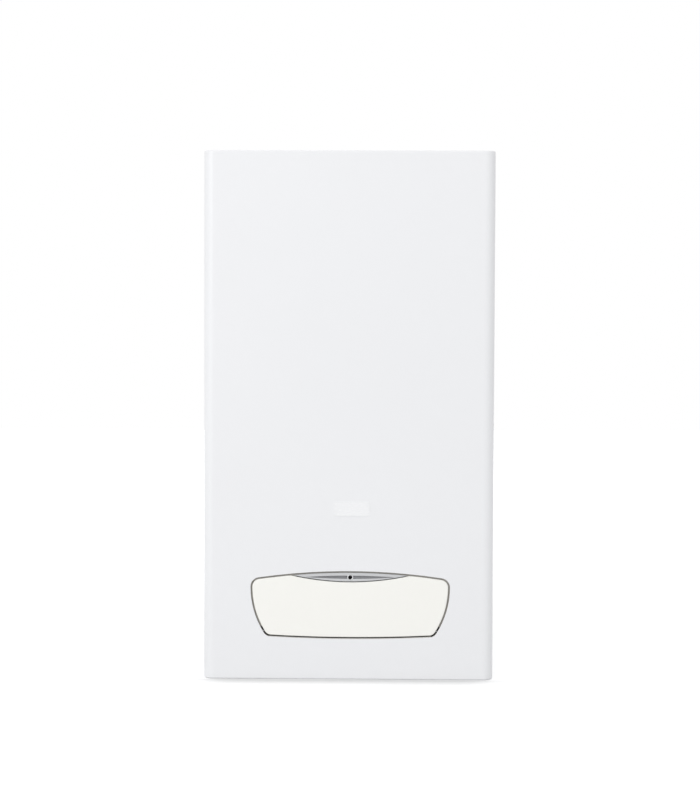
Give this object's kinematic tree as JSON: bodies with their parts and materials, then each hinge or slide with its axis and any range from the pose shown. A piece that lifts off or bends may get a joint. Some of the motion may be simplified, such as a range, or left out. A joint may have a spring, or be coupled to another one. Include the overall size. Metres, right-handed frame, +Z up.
{
  "type": "wall-hung combi boiler",
  "caption": "Wall-hung combi boiler with a white sheet casing, a drop-down control flap with a silver grip trim, knobs and gauge behind it, and pipe tails and flue collar for fixing.",
  "frame": {"origin": "on the wall, on the centre line, level with the wall bracket's fixing holes", "axes": "+Z up, +Y into the wall, so the front faces -Y, +X to the right seen from the front"},
  "size_m": [0.407, 0.3116, 0.74],
  "materials": {
    "case_paint": "satin white powder coat",
    "badge_metal": "satin, blank",
    "flap_plastic": "warm white, soft gloss",
    "bezel_plastic": "dark warm grey, fine texture",
    "trim_silver": "silver metallic lacquer",
    "lamp_black": "smoked lens",
    "magnet": "plain",
    "galvanised": "galvanised sheet, light spangle",
    "zinc_screw": "zinc plated",
    "pin_steel": "ground",
    "box_plastic": "dark grey, fine texture",
    "fascia_plastic": "mid grey, fine texture",
    "display_clear": "smoked clear",
    "board_green": "solder mask",
    "component_black": "moulded cases",
    "knob_plastic": "soft gloss",
    "button_plastic": "soft gloss",
    "gauge_black": "moulded",
    "needle_red": "satin",
    "gauge_clear": "clear",
    "chamber_steel": "aluminised sheet",
    "seal_rubber": "foam strip",
    "burner_steel": "stainless",
    "injector_brass": "turned",
    "insulation_fibre": "ceramic fibre board",
    "electrode_ceramic": "glazed ceramic",
    "copper": "copper, lightly tarnished",
    "fan_cast": "die cast",
    "motor_black": "satin",
    "flue_alu": "spun",
    "vessel_red": "gloss",
    "valve_cast": "die cast",
    "brass_body": "hot pressed",
    "plate_steel": "stainless",
    "actuator_plastic": "moulded",
    "rotor_plastic": "moulded",
    "turbine_plastic": "moulded",
    "handle_blue": "moulded",
    "knob_red": "moulded",
    "gland_black": "nylon"
  },
  "bodies": {
    "boiler": {"wall_bracket": "galvanised", "chassis_back": "galvanised", "top_panel": "galvanised", "bottom_tray": "galvanised", "front_casing": "case_paint", "casing_screws": "zinc_screw", "badge_plate": "badge_metal", "aperture_bezel": "bezel_plastic", "grip_trim": "trim_silver", "status_lamp_lens": "lamp_black", "catch_magnet": "magnet", "control_box": "box_plastic", "control_fascia": "fascia_plastic", "display_window": "display_clear", "control_board": "board_green", "board_components": "component_black", "gauge_body": "gauge_black", "gauge_glass": "gauge_clear", "sealed_chamber": "chamber_steel", "chamber_seal": "seal_rubber", "chamber_cover": "chamber_steel", "combustion_box": "chamber_steel", "insulation_boards": "insulation_fibre", "burner_bars": "burner_steel", "gas_manifold": "injector_brass", "electrodes": "electrode_ceramic", "exchanger_block": "copper", "exchanger_tube": "copper", "flue_hood": "chamber_steel", "fan_housing": "fan_cast", "fan_motor": "motor_black", "flue_spigot": "flue_alu", "air_collar": "flue_alu", "expansion_vessel": "vessel_red", "pipe_tails": "brass_body", "filling_tap": "brass_body", "pump_housing": "brass_body", "pump_motor": "motor_black", "diverter_body": "brass_body", "diverter_actuator": "actuator_plastic", "plate_exchanger": "plate_steel", "heating_pipes": "copper", "gas_valve": "valve_cast", "gas_pipe": "copper", "cable_gland": "gland_black"},
    "flap_leaf": {"flap": "flap_plastic", "flap_hinge_pins": "pin_steel", "flap_striker": "pin_steel"},
    "heating_dial": {"heating_knob": "knob_plastic"},
    "water_dial": {"water_knob": "knob_plastic"},
    "power_key": {"power_button": "button_plastic"},
    "mode_key": {"mode_button": "button_plastic"},
    "reset_key": {"reset_button": "button_plastic"},
    "pressure_pointer": {"gauge_needle": "needle_red"},
    "fan_wheel": {"fan_impeller": "burner_steel"},
    "pump_wheel": {"pump_rotor": "rotor_plastic"},
    "flow_wheel": {"flow_turbine": "turbine_plastic"},
    "diverter_rod": {"diverter_spindle": "pin_steel"},
    "filling_key": {"filling_handle": "handle_blue"},
    "safety_key": {"safety_knob": "knob_red"}
  },
  "joints": [
    {"name": "flap_hinge", "type": "hinge", "parent": "boiler", "child": "flap_leaf", "pos_m": [0, -0.3084, -0.612], "axis": [1, 0, 0], "range_deg": [0, 90]},
    {"name": "heating_knob_turn", "type": "hinge", "parent": "boiler", "child": "heating_dial", "pos_m": [-0.052, -0.29, -0.574], "axis": [0, 1, 0], "range_deg": [-135, 135]},
    {"name": "water_knob_turn", "type": "hinge", "parent": "boiler", "child": "water_dial", "pos_m": [0.052, -0.29, -0.574], "axis": [0, 1, 0], "range_deg": [-135, 135]},
    {"name": "power_button_press", "type": "slide", "parent": "boiler", "child": "power_key", "axis": [0, 1, 0], "range_m": [0, 0.0015], "stiffness_N_per_m": 400},
    {"name": "mode_button_press", "type": "slide", "parent": "boiler", "child": "mode_key", "axis": [0, 1, 0], "range_m": [0, 0.0015], "stiffness_N_per_m": 400},
    {"name": "reset_button_press", "type": "slide", "parent": "boiler", "child": "reset_key", "axis": [0, 1, 0], "range_m": [0, 0.0015], "stiffness_N_per_m": 400},
    {"name": "gauge_needle_turn", "type": "hinge", "parent": "boiler", "child": "pressure_pointer", "pos_m": [-0.098, -0.286, -0.574], "axis": [0, 1, 0], "range_deg": [-45, 225]},
    {"name": "fan_spin", "type": "hinge", "parent": "boiler", "child": "fan_wheel", "pos_m": [0.022, -0.18, -0.04], "axis": [0, 1, 0], "continuous": true},
    {"name": "pump_spin", "type": "hinge", "parent": "boiler", "child": "pump_wheel", "pos_m": [0.13, -0.12, -0.525], "axis": [0, 1, 0], "continuous": true},
    {"name": "flow_wheel_spin", "type": "hinge", "parent": "boiler", "child": "flow_wheel", "pos_m": [0.065, -0.095, -0.607], "axis": [0, 0, 1], "continuous": true},
    {"name": "diverter_slide", "type": "slide", "parent": "boiler", "child": "diverter_rod", "axis": [0, -1, 0], "range_m": [0, 0.006]},
    {"name": "filling_handle_turn", "type": "hinge", "parent": "boiler", "child": "filling_key", "pos_m": [0.0975, -0.095, -0.655], "axis": [0, 0, 1], "range_deg": [0, 90]},
    {"name": "safety_knob_turn", "type": "hinge", "parent": "boiler", "child": "safety_key", "pos_m": [0.108, -0.095, -0.471], "axis": [1, 0, 0], "range_deg": [0, 90]}
  ]
}
